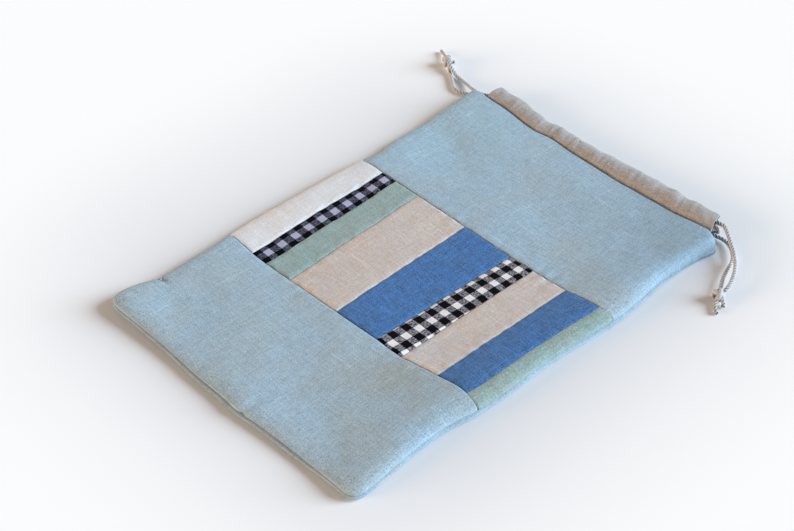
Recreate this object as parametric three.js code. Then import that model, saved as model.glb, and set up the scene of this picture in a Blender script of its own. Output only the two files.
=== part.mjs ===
import * as THREE from "three";

// A lined linen drawstring bag that lies on its back, with its mouth towards +Y and its left seam at -X.
// Sizes are in millimetres, and z = 0 is the table under it.

// Width between the side seams, and the patchwork strips from the left: the wide sand strip fills what they leave.
const BAG_WIDTH = 250;
const CREAM_WIDTH = 28.5;
const DARK_GINGHAM_WIDTH = 14.5;
const SAGE_WIDE_WIDTH = 24;
const BLUE_WIDE_WIDTH = 43;
const WHITE_GINGHAM_WIDTH = 21;
const SAND_NARROW_WIDTH = 32.5;
const BLUE_NARROW_WIDTH = 28.5;
const SAGE_NARROW_WIDTH = 9;

// Front sections, from the bottom seam to the mouth.
const LOWER_LENGTH = 109;
const BAND_LENGTH = 128;
const UPPER_LENGTH = 123;

// Cloth thicknesses, and the gap between pieces that touch.
const OUTER_CLOTH = 0.9;
const LINING_CLOTH = 0.5;
const CASING_CLOTH = 0.6;
const SEAT_GAP = 0.3;

// Rolled edges: the seam line runs at mid height, and a raised rim fades into the flat middle.
const CORNER_RADIUS = 10;
const ROLL_WIDTH = 7;
const SEAM_HEIGHT = 5.5;
const RIM_RISE = 2.3;
const RIM_WIDTH = 45;

// Mouth and casings: the casing's sewn margin lies between the outer cloth and the lining.
const MOUTH_GAP = 4.4;
const MOUTH_RISE_LENGTH = 60;
const MARGIN_REACH = 7;
const LEVEL_RUN = 2;
const MARGIN_THICKNESS = 0.8;
const CASING_DEPTH = 18;
const CASING_INSET_LEFT = 17;
const CASING_INSET_RIGHT = 8;

// Drawstrings: two runs lie side by side in each casing.
const CORD_DIAMETER = 2.8;
const CORD_CLEARANCE = 0.3;
const NEAR_RUN = 3.2;
const FAR_RUN = 7.4;
const LOOP_LEAD = 1.5;
const KNOT_LENGTH = 10.4;
const KNOT_WIDTH = 9.2;
const KNOT_HEIGHT = 8.8;

// Free ends: across from the casing's end, along from the mouth, and up from the table.
const RIGHT_ENDS = {
  side: 1,
  knot: [44.5, -48.5, 4.6],
  frontRoute: [
    [5, 7.3, 11.2],
    [10, 4.4, 10.8],
    [15.5, 0.2, 10.2],
    [21.5, -4.5, 9.6],
    [27, -9.2, 9],
    [32, -14, 8.4],
    [36, -19, 7.8],
    [39.6, -24.6, 7.3],
    [42.6, -30.6, 7],
    [44.8, -36.4, 6.9],
    [46.2, -42.2, 6.8],
  ],
  backRoute: [
    [5.6, 3.6, 2.5],
    [11.4, 3, 2.8],
    [16, 1.2, 3.1],
    [20.5, -2.2, 3.4],
    [25, -6.6, 3.6],
    [28.6, -12, 3.7],
    [31, -18.6, 3.8],
    [32.8, -24.6, 3.8],
    [35, -30.2, 3.9],
    [38, -35.8, 4],
    [41.4, -42, 4.2],
  ],
  frontTail: [
    [47.2, -54, 2.8],
    [50, -58.4, 2.1],
    [54.2, -61.6, 1.7],
  ],
  backTail: [
    [50.6, -50.4, 3],
    [53, -53.2, 2],
  ],
};
const LEFT_ENDS = {
  side: -1,
  knot: [63.5, 20.5, 4.6],
  frontRoute: [
    [4.5, 2, 9.6],
    [9, 1.8, 8.8],
    [13, 2.4, 7.9],
    [17.5, 4.4, 6.4],
    [23, 6.6, 4.5],
    [30, 9.6, 2.8],
    [36.5, 11.4, 2],
    [42, 12.4, 1.9],
    [46.5, 13, 2.6],
    [50.5, 13.8, 4.1],
    [54.2, 15, 5.5],
    [58.8, 17.4, 6.4],
  ],
  backRoute: [
    [7, 7, 2],
    [13, 6, 1.8],
    [18.5, 3.4, 1.8],
    [23.4, 0.4, 1.8],
    [28.2, -1.6, 1.8],
    [32.8, -1.2, 1.8],
    [36.5, 0.3, 1.8],
    [40, 2.8, 1.8],
    [44.6, 6.4, 1.8],
    [49.5, 10, 1.8],
    [54.2, 13.4, 2],
    [58.8, 17.2, 2.8],
  ],
  frontTail: [
    [69.5, 24.6, 3.6],
    [75.5, 27.6, 2.5],
    [80.8, 30.4, 1.8],
  ],
  backTail: [
    [58.8, 24.2, 3.8],
    [57, 26, 3],
  ],
};

// Mesh fineness.
const ROLL_STEPS = 5;
const RIM_STEPS = 5;
const MOUTH_STEPS = 5;
const CORD_SIDES = 8;
const CORD_STEP = 3.2;
const LINE_SPACING = 0.25;

// Sizes that follow from the ones above.
const LEFT_STRIPS = CREAM_WIDTH + DARK_GINGHAM_WIDTH + SAGE_WIDE_WIDTH;
const RIGHT_STRIPS = BLUE_WIDE_WIDTH + WHITE_GINGHAM_WIDTH + SAND_NARROW_WIDTH + BLUE_NARROW_WIDTH + SAGE_NARROW_WIDTH;
const SAND_WIDE_WIDTH = BAG_WIDTH - LEFT_STRIPS - RIGHT_STRIPS;
const PATCHES = [
  { name: "patch_cream", width: CREAM_WIDTH, colour: 0xd8cbb8 },
  { name: "patch_dark_gingham", width: DARK_GINGHAM_WIDTH, colour: 0x5c5a5e },
  { name: "patch_sage_wide", width: SAGE_WIDE_WIDTH, colour: 0x8d9a82 },
  { name: "patch_sand_wide", width: SAND_WIDE_WIDTH, colour: 0xc4b39a },
  { name: "patch_blue_wide", width: BLUE_WIDE_WIDTH, colour: 0x5f87ad },
  { name: "patch_white_gingham", width: WHITE_GINGHAM_WIDTH, colour: 0x8f8f92 },
  { name: "patch_sand_narrow", width: SAND_NARROW_WIDTH, colour: 0xc4b39a },
  { name: "patch_blue_narrow", width: BLUE_NARROW_WIDTH, colour: 0x5f87ad },
  { name: "patch_sage_narrow", width: SAGE_NARROW_WIDTH, colour: 0x8d9a82 },
];
const BODY_LENGTH = LOWER_LENGTH + BAND_LENGTH + UPPER_LENGTH;
const SIDE = BAG_WIDTH / 2;
const BOTTOM = -(BODY_LENGTH + CASING_DEPTH) / 2;
const MOUTH = BOTTOM + BODY_LENGTH;
const BAND_START = BOTTOM + LOWER_LENGTH;
const BAND_END = BAND_START + BAND_LENGTH;
const ROLL = Math.min(ROLL_WIDTH, CORNER_RADIUS);
const CASING_LEFT = -SIDE + CASING_INSET_LEFT;
const CASING_RIGHT = SIDE - CASING_INSET_RIGHT;
const CASING_HEIGHT = CORD_DIAMETER + 2 * CORD_CLEARANCE + 2 * CASING_CLOTH;
const BACK_CASING_Z = CASING_HEIGHT / 2;
const FRONT_CASING_Z = 1.5 * CASING_HEIGHT + MOUTH_GAP;
const MARGIN_COVER = MARGIN_THICKNESS / 2 + SEAT_GAP + OUTER_CLOTH;
const MOUTH_TOP = FRONT_CASING_Z + MARGIN_COVER;
const MOUTH_UNDERSIDE = BACK_CASING_Z - MARGIN_COVER;
const MIDDLE_TOP = CASING_HEIGHT + MOUTH_GAP + LINING_CLOTH + SEAT_GAP + OUTER_CLOTH;
const LINING_DEPTH = OUTER_CLOTH + SEAT_GAP;

const bag = new THREE.Group();
bag.name = "drawstring_bag";

function addPiece(name, geometry, colour, roughness) {
  const material = new THREE.MeshStandardMaterial({ color: colour, roughness, metalness: 0 });
  const piece = new THREE.Mesh(geometry, material);
  piece.name = name;
  bag.add(piece);
}

function smooth(value) {
  const share = Math.min(Math.max(value, 0), 1);
  return share * share * (3 - 2 * share);
}

// Rounds the two bottom corners: a place on the square-cornered plan moves to the rounded plan.
function roundCorner(x, y) {
  const across = (Math.abs(x) - SIDE + CORNER_RADIUS) / CORNER_RADIUS;
  const down = (BOTTOM + CORNER_RADIUS - y) / CORNER_RADIUS;
  if (across <= 0 || down <= 0) {
    return { x, y };
  }
  const reachX = CORNER_RADIUS * across * Math.sqrt(1 - (down * down) / 2);
  const reachY = CORNER_RADIUS * down * Math.sqrt(1 - (across * across) / 2);
  return {
    x: Math.sign(x) * (SIDE - CORNER_RADIUS + reachX),
    y: BOTTOM + CORNER_RADIUS - reachY,
  };
}

// The nearest place of the outline: how far in it is, and which way is out.
function edgeAt(x, y) {
  const centreX = SIDE - CORNER_RADIUS;
  const centreY = BOTTOM + CORNER_RADIUS;
  const beyondX = Math.abs(x) - centreX;
  const beyondY = centreY - y;
  if (beyondX > 0 && beyondY > 0) {
    const reach = Math.hypot(beyondX, beyondY);
    const outX = (Math.sign(x) * beyondX) / reach;
    return { inside: CORNER_RADIUS - reach, outX, outY: -beyondY / reach };
  }
  if (SIDE - Math.abs(x) < y - BOTTOM) {
    return { inside: SIDE - Math.abs(x), outX: Math.sign(x), outY: 0 };
  }
  return { inside: y - BOTTOM, outX: 0, outY: -1 };
}

// The cloth is level again where the casing's margin lies under it.
const nearMouthLength = MOUTH_RISE_LENGTH - MARGIN_REACH - LEVEL_RUN;

function nearMouth(y) {
  return smooth((y - MOUTH + MOUTH_RISE_LENGTH) / nearMouthLength);
}

function topHeight(x, y) {
  const awayFromSide = smooth((SIDE - Math.abs(x) - ROLL) / (RIM_WIDTH - ROLL));
  const awayFromBottom = smooth((y - BOTTOM - ROLL) / (RIM_WIDTH - ROLL));
  const body = MIDDLE_TOP + RIM_RISE * (1 - awayFromSide * awayFromBottom);
  return THREE.MathUtils.lerp(body, MOUTH_TOP, nearMouth(y));
}

// A place on one face of the bag, a depth below its outside: face is 1 on the front and -1 on the back.
function facePoint(face, planX, planY, depth) {
  const { x, y } = roundCorner(planX, planY);
  const { inside, outX, outY } = edgeAt(x, y);
  const level = face > 0 ? topHeight(x, y) : MOUTH_UNDERSIDE * nearMouth(y);
  const seam = SEAM_HEIGHT + (face * SEAT_GAP) / 2;
  const rise = Math.abs(level - seam);
  const turn = Math.acos(1 - Math.min(Math.max(inside, 0), ROLL) / ROLL);
  const normal = new THREE.Vector3(outX, outY, 0).multiplyScalar(Math.cos(turn) / ROLL);
  normal.z = (face * Math.sin(turn)) / rise;
  normal.normalize();
  return new THREE.Vector3(x, y, seam + face * rise * Math.sin(turn)).addScaledVector(normal, -depth);
}

// Grid lines: close together round a rolled edge, wider apart across the flat.
function rollLines() {
  const lines = [];
  for (let step = 0; step <= ROLL_STEPS; step += 1) {
    lines.push(ROLL * (1 - Math.cos((Math.PI / 2) * (step / ROLL_STEPS))));
  }
  for (let step = 1; step <= RIM_STEPS; step += 1) {
    lines.push(THREE.MathUtils.lerp(ROLL, RIM_WIDTH, step / RIM_STEPS));
  }
  return lines;
}

function linesBetween(start, end, lines) {
  const inner = lines.filter((line) => line > start + LINE_SPACING && line < end - LINE_SPACING);
  return [start, ...inner, end].sort((a, b) => a - b);
}

function columns(start, end) {
  const roll = rollLines();
  const left = roll.map((line) => line - SIDE);
  const right = roll.map((line) => SIDE - line);
  return linesBetween(start, end, [...left, 0, ...right]);
}

function rows(start, end) {
  const rolled = rollLines().map((line) => BOTTOM + line);
  const mouth = [];
  for (let step = 0; step <= MOUTH_STEPS; step += 1) {
    mouth.push(MOUTH - MOUTH_RISE_LENGTH + (nearMouthLength * step) / MOUTH_STEPS);
  }
  return linesBetween(start, end, [...rolled, BAND_START, (BAND_START + BAND_END) / 2, ...mouth]);
}

// A sheet of cloth: a box whose grid is laid on the face of the bag.
function clothSheet(face, startX, endX, startY, endY, depthAt, thickness) {
  const acrossLines = columns(startX, endX);
  const alongLines = rows(startY, endY);
  const acrossCount = acrossLines.length - 1;
  const alongCount = alongLines.length - 1;
  const sheet = new THREE.BoxGeometry(acrossCount, alongCount, 1, acrossCount, alongCount, 1);
  const places = sheet.getAttribute("position");
  for (let index = 0; index < places.count; index += 1) {
    const x = acrossLines[Math.round(places.getX(index) + acrossCount / 2)];
    const y = alongLines[Math.round(places.getY(index) + alongCount / 2)];
    const outside = places.getZ(index) * face > 0;
    const depth = depthAt(y) + (outside ? 0 : thickness);
    const place = facePoint(face, x, y, depth);
    places.setXYZ(index, place.x, place.y, place.z);
  }
  sheet.computeVertexNormals();
  return sheet;
}

function outerDepth() {
  return 0;
}

function liningDepth(y) {
  return LINING_DEPTH + (MARGIN_THICKNESS + SEAT_GAP) * nearMouth(y);
}

// Outer cloth.
const LIGHT_BLUE = 0xa9bccb;
const seamHalf = SEAT_GAP / 2;
const lower = clothSheet(1, -SIDE, SIDE, BOTTOM, BAND_START - seamHalf, outerDepth, OUTER_CLOTH);
addPiece("front_lower_panel", lower, LIGHT_BLUE, 0.9);
const upper = clothSheet(1, -SIDE, SIDE, BAND_END + seamHalf, MOUTH, outerDepth, OUTER_CLOTH);
addPiece("front_upper_panel", upper, LIGHT_BLUE, 0.9);
const back = clothSheet(-1, -SIDE, SIDE, BOTTOM, MOUTH, outerDepth, OUTER_CLOTH);
addPiece("back_panel", back, LIGHT_BLUE, 0.9);

// Patchwork band.
let patchStart = -SIDE;
PATCHES.forEach((patch, index) => {
  const patchEnd = patchStart + patch.width;
  const startX = index === 0 ? patchStart : patchStart + seamHalf;
  const endX = index === PATCHES.length - 1 ? patchEnd : patchEnd - seamHalf;
  const strip = clothSheet(1, startX, endX, BAND_START + seamHalf, BAND_END - seamHalf, outerDepth, OUTER_CLOTH);
  addPiece(patch.name, strip, patch.colour, 0.9);
  patchStart = patchEnd;
});

// Lining.
const LINING_COLOUR = 0xcfc6b6;
const liningFront = clothSheet(1, -SIDE, SIDE, BOTTOM, MOUTH, liningDepth, LINING_CLOTH);
addPiece("lining_front", liningFront, LINING_COLOUR, 0.9);
const liningBack = clothSheet(-1, -SIDE, SIDE, BOTTOM, MOUTH, liningDepth, LINING_CLOTH);
addPiece("lining_back", liningBack, LINING_COLOUR, 0.9);

// Casings: a flat tube with a sewn margin, drawn in section and run across the mouth.
function casing(centreZ) {
  const outerRadius = CASING_HEIGHT / 2;
  const boreRadius = outerRadius - CASING_CLOTH;
  const seamCentre = outerRadius + SEAT_GAP;
  const foldCentre = CASING_DEPTH - outerRadius;
  const marginHalf = MARGIN_THICKNESS / 2;
  const meet = Math.asin(marginHalf / outerRadius);
  const section = new THREE.Shape();
  section.moveTo(-MARGIN_REACH, -marginHalf);
  section.lineTo(seamCentre - outerRadius * Math.cos(meet), -marginHalf);
  section.absarc(seamCentre, 0, outerRadius, Math.PI + meet, 1.5 * Math.PI, false);
  section.absarc(foldCentre, 0, outerRadius, -Math.PI / 2, Math.PI / 2, false);
  section.absarc(seamCentre, 0, outerRadius, Math.PI / 2, Math.PI - meet, false);
  section.lineTo(-MARGIN_REACH, marginHalf);
  section.closePath();
  const bore = new THREE.Path();
  bore.absarc(seamCentre, 0, boreRadius, 1.5 * Math.PI, Math.PI / 2, true);
  bore.absarc(foldCentre, 0, boreRadius, Math.PI / 2, -Math.PI / 2, true);
  bore.closePath();
  section.holes.push(bore);
  const tube = new THREE.ExtrudeGeometry(section, {
    depth: CASING_RIGHT - CASING_LEFT,
    steps: 1,
    bevelEnabled: false,
    curveSegments: 6,
  });
  const acrossMouth = new THREE.Matrix4().makeBasis(
    new THREE.Vector3(0, 1, 0),
    new THREE.Vector3(0, 0, 1),
    new THREE.Vector3(1, 0, 0),
  );
  tube.applyMatrix4(acrossMouth);
  tube.translate(CASING_LEFT, MOUTH, centreZ);
  return tube;
}

const NATURAL_LINEN = 0xb5a590;
addPiece("casing_front", casing(FRONT_CASING_Z), NATURAL_LINEN, 0.95);
addPiece("casing_back", casing(BACK_CASING_Z), NATURAL_LINEN, 0.95);

// Drawstrings: round twine along a line or a smooth route.
const TWINE_COLOUR = 0xa58f73;

function cord(route) {
  const section = new THREE.Shape();
  section.absarc(0, 0, CORD_DIAMETER / 2, 0, 2 * Math.PI, false);
  const straight = route.isLineCurve3;
  const steps = straight ? 1 : Math.max(4, Math.round(route.getLength() / CORD_STEP));
  return new THREE.ExtrudeGeometry(section, {
    extrudePath: route,
    steps,
    bevelEnabled: false,
    curveSegments: CORD_SIDES / 2,
  });
}

function smoothRoute(points) {
  return new THREE.CatmullRomCurve3(points, false, "centripetal");
}

// The loop goes from the front run round to the back run in one half turn.
function loopRoute(frontEnd, backEnd, out) {
  const centre = frontEnd.clone().add(backEnd).multiplyScalar(0.5);
  const toFront = frontEnd.clone().sub(centre);
  const radius = toFront.length();
  const outward = new THREE.Vector3(out * radius, 0, 0);
  const lead = new THREE.Vector3(out * LOOP_LEAD, 0, 0);
  const points = [frontEnd.clone()];
  for (let step = 0; step <= 6; step += 1) {
    const angle = (Math.PI * step) / 6;
    const place = centre.clone().add(lead);
    place.addScaledVector(toFront, Math.cos(angle)).addScaledVector(outward, Math.sin(angle));
    points.push(place);
  }
  points.push(backEnd.clone());
  return smoothRoute(points);
}

// The place on the knot's surface that faces a point, a little way off it.
function knotFace(centre, towards) {
  const way = towards.clone().sub(centre).normalize();
  const reach = 1 / Math.hypot(way.x / (KNOT_LENGTH / 2), way.y / (KNOT_WIDTH / 2), way.z / (KNOT_HEIGHT / 2));
  return centre.clone().addScaledVector(way, reach + SEAT_GAP);
}

function drawstring(prefix, ends, frontRow, backRow) {
  const out = ends.side;
  const exitX = out > 0 ? CASING_RIGHT : CASING_LEFT;
  const loopX = out > 0 ? CASING_LEFT : CASING_RIGHT;
  const place = ([across, along, up]) => new THREE.Vector3(exitX + out * across, MOUTH + along, up);
  const frontExit = new THREE.Vector3(exitX, MOUTH + frontRow, FRONT_CASING_Z);
  const backExit = new THREE.Vector3(exitX, MOUTH + backRow, BACK_CASING_Z);
  const frontTurn = new THREE.Vector3(loopX, frontExit.y, frontExit.z);
  const backTurn = new THREE.Vector3(loopX, backExit.y, backExit.z);
  const gap = new THREE.Vector3(out * SEAT_GAP, 0, 0);
  const lead = new THREE.Vector3(out * LOOP_LEAD, 0, 0);
  const add = (suffix, geometry) => addPiece(prefix + suffix, geometry, TWINE_COLOUR, 0.95);

  add("_front_run", cord(new THREE.LineCurve3(frontTurn, frontExit)));
  add("_back_run", cord(new THREE.LineCurve3(backTurn, backExit)));
  add("_loop", cord(loopRoute(frontTurn.clone().sub(gap), backTurn.clone().sub(gap), -out)));

  const knotCentre = place(ends.knot);
  const knot = new THREE.SphereGeometry(1, 16, 10);
  knot.scale(KNOT_LENGTH / 2, KNOT_WIDTH / 2, KNOT_HEIGHT / 2);
  knot.translate(knotCentre.x, knotCentre.y, knotCentre.z);
  add("_knot", knot);

  const frontPoints = ends.frontRoute.map(place);
  const backPoints = ends.backRoute.map(place);
  const frontIn = knotFace(knotCentre, frontPoints[frontPoints.length - 1]);
  const backIn = knotFace(knotCentre, backPoints[backPoints.length - 1]);
  const leaving = (exit) => [gap, gap.clone().add(lead)].map((step) => exit.clone().add(step));
  add("_front_end", cord(smoothRoute([...leaving(frontExit), ...frontPoints, frontIn])));
  add("_back_end", cord(smoothRoute([...leaving(backExit), ...backPoints, backIn])));

  const frontTail = ends.frontTail.map(place);
  const backTail = ends.backTail.map(place);
  add("_front_tail", cord(smoothRoute([knotFace(knotCentre, frontTail[0]), ...frontTail])));
  add("_back_tail", cord(smoothRoute([knotFace(knotCentre, backTail[0]), ...backTail])));
}

drawstring("right_cord", RIGHT_ENDS, FAR_RUN, NEAR_RUN);
drawstring("left_cord", LEFT_ENDS, NEAR_RUN, FAR_RUN);

export default bag;
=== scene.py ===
import math

import bpy
import numpy as np
from mathutils import Matrix, Vector


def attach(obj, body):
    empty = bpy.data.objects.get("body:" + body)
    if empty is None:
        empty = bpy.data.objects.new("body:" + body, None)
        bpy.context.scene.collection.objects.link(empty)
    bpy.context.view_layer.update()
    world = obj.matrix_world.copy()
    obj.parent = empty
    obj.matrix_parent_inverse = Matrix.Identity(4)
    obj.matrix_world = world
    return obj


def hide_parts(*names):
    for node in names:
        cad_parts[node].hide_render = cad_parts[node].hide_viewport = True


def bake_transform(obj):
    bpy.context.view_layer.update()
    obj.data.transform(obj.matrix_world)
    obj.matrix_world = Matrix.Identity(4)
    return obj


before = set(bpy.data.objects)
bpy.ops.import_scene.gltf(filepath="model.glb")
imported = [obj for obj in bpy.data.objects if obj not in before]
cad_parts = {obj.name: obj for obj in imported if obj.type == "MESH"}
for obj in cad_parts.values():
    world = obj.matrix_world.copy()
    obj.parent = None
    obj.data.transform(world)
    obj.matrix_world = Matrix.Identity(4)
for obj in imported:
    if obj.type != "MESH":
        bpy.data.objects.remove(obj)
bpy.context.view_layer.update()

mm = 0.001
print("bag: packed frame loaded")


# camera and light
view = {
    "lens": 76.24,
    "target": (-0.0191, -0.01227, 0.0),
    "distance": 1.19516,
    "azimuth": 46.374,
    "pitch": 40.978,
    "roll": -0.197,
}
studio = {
    "skyColour": (0.313, 0.269, 0.24),
    "keyColour": (0.72, 0.867, 1.0),
    "keyStrength": 5.75,
    "keyFrom": (0.69, 0.72),
    "keyHeight": 22.0,
    "keyWidth": 36.0,
    "fillColour": (1.0, 0.76, 0.55),
    "fillStrength": 3.8,
    "fillFrom": (-0.42, -0.90),
    "fillHeight": 6.5,
    "fillWidth": 32.0,
    # painted shade: the floor is drawn darker around the bag and brightens to its far colour further out
    "shadedFloorNear": (0.758, 0.76, 0.772),
    "floorFar": (1.0, 0.99, 0.978),
    "floorMiddle": (-0.008, 0.002, 0.0),
    "floorHalf": (0.08, 0.087, 0.0),
    "floorReach": (0.23, 0.256, 1.0),  # over how far the floor brightens to its far colour
    "bagMiddle": (0.015, -0.015, 0.0),
    "bagHalf": (0.125, 0.18, 0.0),
    "bagReach": (0.07, 0.07, 1.0),
    "paintedShadeBesideBag": (0.955, 0.958, 0.968),  # painted shade: the floor is drawn a little darker close to the bag
    "floorSize": 24.0,
    "backdrop": (0.95, 0.96, 0.98),
}


def deselectAll():
    bpy.ops.object.select_all(action="DESELECT")


def selectOnly(piece):
    deselectAll()
    piece.select_set(True)
    bpy.context.view_layer.objects.active = piece


def placeCamera():
    a, e, r = (math.radians(view[k]) for k in ("azimuth", "pitch", "roll"))
    back = Vector((math.sin(a) * math.cos(e), -math.cos(a) * math.cos(e), math.sin(e)))
    side = Vector((math.cos(a), math.sin(a), 0))
    up = back.cross(side)
    acrossPicture = side * math.cos(r) + up * math.sin(r)
    upPicture = up * math.cos(r) - side * math.sin(r)
    deselectAll()
    bpy.ops.object.camera_add()
    camera = bpy.context.object
    turned = Matrix((acrossPicture, upPicture, back)).transposed().to_4x4()
    turned.translation = Vector(view["target"]) + back * view["distance"]
    camera.matrix_world = turned
    camera.data.lens = view["lens"]
    camera.data.sensor_fit = "HORIZONTAL"
    camera.data.sensor_width = 36
    camera.data.clip_end = 40
    bpy.context.scene.camera = camera


def placeLight(word):
    deselectAll()
    bpy.ops.object.light_add(type="SUN")
    lamp = bpy.context.object
    height = math.radians(studio[f"{word}Height"])
    level = Vector((*studio[f"{word}From"], 0)).normalized()
    toLamp = level * math.cos(height) + Vector((0, 0, math.sin(height)))
    lamp.location = toLamp
    lamp.rotation_euler = toLamp.to_track_quat("Z", "Y").to_euler()
    lamp.data.energy = studio[f"{word}Strength"]
    lamp.data.color = studio[f"{word}Colour"]
    lamp.data.angle = math.radians(studio[f"{word}Width"])


placeCamera()
placeLight("key")
placeLight("fill")
bpy.context.scene.view_settings.view_transform = "Standard"
print("bag: camera and lamps placed")


# finishes
class Wire:
    def __init__(self, tree, socket=None):
        self.tree = tree
        self.socket = socket

    def feed(self, socket, value):
        if isinstance(value, Wire):
            self.tree.links.new(value.socket, socket)
        else:
            socket.default_value = value

    def node(self, kind, settings=None, inputs=None, output=0):
        made = self.tree.nodes.new(kind)
        for key, value in (settings or {}).items():
            setattr(made, key, value)
        for key, value in (inputs or {}).items():
            self.feed(made.inputs[key], value)
        return Wire(self.tree, made.outputs[output])

    def maths(self, operation, first, second=0.0):
        return self.node("ShaderNodeMath", {"operation": operation}, {0: first, 1: second})

    def vector(self, operation, first, second=(0, 0, 0), output="Vector"):
        return self.node("ShaderNodeVectorMath", {"operation": operation}, {0: first, 1: second}, output)

    def __add__(self, other):
        return self.maths("ADD", self, other)

    __radd__ = __add__

    def __sub__(self, other):
        return self.maths("SUBTRACT", self, other)

    def __rsub__(self, other):
        return self.maths("SUBTRACT", other, self)

    def __mul__(self, other):
        return self.maths("MULTIPLY", self, other)

    __rmul__ = __mul__

    def __truediv__(self, other):
        return self.maths("DIVIDE", self, other)

    def __gt__(self, other):
        return self.maths("GREATER_THAN", self, other)

    def sine(self):
        return self.maths("SINE", self)

    def part(self):
        return self.maths("FRACT", self)

    def held(self):
        return self.node("ShaderNodeClamp", {}, {0: self})

    def axis(self, number):
        return self.node("ShaderNodeSeparateXYZ", {}, {0: self}, number)

    def grey(self):
        return self.node("ShaderNodeCombineColor", {}, {0: self, 1: self, 2: self})

    def eased(self, start=0.0, end=1.0):
        settings = {"interpolation_type": "SMOOTHSTEP"}
        return self.node("ShaderNodeMapRange", settings, {0: self, 1: start, 2: end})

    def mixed(self, share, first, second, way="MIX"):
        settings = {"data_type": "RGBA", "blend_type": way}
        return self.node("ShaderNodeMix", settings, {0: share, 6: first, 7: second}, 2)

    def blendColours(self, first, second):
        return self.mixed(self, first, second)

    def timesColour(self, other):
        return self.mixed(1.0, self, other, "MULTIPLY")

    def noise(self, place, size, detail=2.0, rough=0.5):
        spread = self.node("ShaderNodeMapping", {}, {"Vector": place, "Scale": size})
        return self.node(
            "ShaderNodeTexNoise",
            {"noise_dimensions": "2D"},
            {"Vector": spread, "Scale": 1.0, "Detail": detail, "Roughness": rough},
        )


def paint(red, green, blue):
    # a colour as it is seen on screen, turned into the shader's own numbers
    def straight(c):
        c = c / 255
        return c / 12.92 if c <= 0.04045 else ((c + 0.055) / 1.055) ** 2.4

    return (straight(red), straight(green), straight(blue), 1.0)


def newFinish(name, roughness, sheen, shine=0.2):
    material = bpy.data.materials.new(name)
    material.use_nodes = True
    shader = material.node_tree.nodes["Principled BSDF"]
    shader.inputs["Roughness"].default_value = roughness
    shader.inputs["Specular IOR Level"].default_value = shine
    shader.inputs["Sheen Weight"].default_value = sheen
    shader.inputs["Sheen Roughness"].default_value = 0.6
    return material, shader, Wire(material.node_tree)


linens = {
    "light_blue_linen": {
        "plain": (153, 174, 187),
        "cool": (148, 175, 193),
        "warm": (156, 168, 172),
        "grain": 1.0,
        # painted light and shade: soft tints where the cloth is drawn lighter or darker to stand in for how
        # the light falls: across, along, how far, to what
        "paintedLightAndShade": (
            (0.068, -0.097, 0.04, (147, 154, 152)),
            (0.11, 0.155, 0.1, (138, 163, 180)),
            (-0.085, 0.12, 0.09, (152, 180, 196)),
        ),
    },
    "cream_linen": {"plain": (212, 211, 212), "cool": (209, 210, 215), "warm": (215, 208, 203), "grain": 0.5},
    "sage_linen": {"plain": (140, 161, 159), "cool": (134, 163, 161), "warm": (147, 158, 152), "grain": 1.0},
    "sand_linen": {"plain": (191, 183, 178), "cool": (189, 185, 184), "warm": (196, 173, 155), "grain": 0.87},
    "mid_blue_linen": {"plain": (62, 105, 157), "cool": (57, 104, 162), "warm": (67, 107, 151), "grain": 2.0},
    "natural_linen": {
        "plain": (161, 157, 154),
        "cool": (166, 165, 166),
        "warm": (150, 138, 128),
        "grain": 1.1,
        "cloud": (70, 12, 1),
    },
    "lining_linen": {
        "plain": (208, 202, 192),
        "cool": (208, 204, 197),
        "warm": (206, 197, 184),
        "grain": 0.6,
    },
}
weave = {
    "thread": 0.00075,  # from one thread to the next, in metres
    "contrast": 0.62,  # how far single threads differ in tone
    "fleck": 1.4,
    "slubs": 0.8,
    "lean": 1.6,  # how the tint cools from the bottom to the mouth
    "bumpHeight": 0.00012,
}


def threads(wire, place):
    # long streaks both ways, and the flecks where threads cross
    warp = wire.noise(place, (500, 84, 1), 3.0, 0.95)
    weft = wire.noise(place, (84, 500, 1), 3.0, 0.95)
    fleck = wire.noise(place, (1200, 1200, 1), 2.0, 0.8)
    return warp, weft, fleck


def weaveHeight(place, warp, weft, fleck):
    turn = math.pi / weave["thread"]
    over = (place.axis(0) * turn).sine() * (place.axis(1) * turn).sine()
    return over * 0.35 + warp * 0.8 + weft * 0.8 + fleck * 0.8


def bumped(wire, shader, height, distance):
    bump = wire.node("ShaderNodeBump", {}, {"Height": height, "Strength": 0.6, "Distance": distance})
    wire.feed(shader.inputs["Normal"], bump)


def makeLinen(name, look):
    material, shader, wire = newFinish(name, 0.9, 0.08)
    place = wire.node("ShaderNodeUVMap", {"uv_map": "cloth"})
    warp, weft, fleck = threads(wire, place)
    cloud = wire.noise(place, look.get("cloud", (22, 22, 1)), 3.0, 0.62)
    slubUp, slubAcross = (wire.noise(place, size, 1.0) - 0.64 for size in ((620, 16, 1), (16, 620, 1)))
    slub = slubUp.held() + slubAcross.held()
    tint = ((cloud - 0.5) * 2.4 + 0.5 - place.axis(1) * weave["lean"]).held()
    ground = tint.blendColours(paint(*look["cool"]), paint(*look["warm"]))
    plain = wire.mixed(0.5, ground, paint(*look["plain"]))
    # painted light and shade: each tint is blended in around its spot
    for u, v, reach, paintedTint in look.get("paintedLightAndShade", ()):
        away = wire.vector("LENGTH", wire.vector("SUBTRACT", place, (u, v, 0)), output="Value")
        plain = away.eased(reach, 0.0).blendColours(plain, paint(*paintedTint))
    streak = (warp + weft - 1.0) * weave["contrast"] + (fleck - 0.5) * weave["fleck"] + slub * weave["slubs"]
    tone = 1.0 + streak * look["grain"]
    wire.feed(shader.inputs["Base Color"], plain.timesColour(tone.grey()))
    wire.feed(shader.inputs["Roughness"], 0.86 + (warp - 0.5) * 0.12)
    bumped(wire, shader, weaveHeight(place, warp, weft, fleck) + slub * 2.0, weave["bumpHeight"])
    return material


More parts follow.
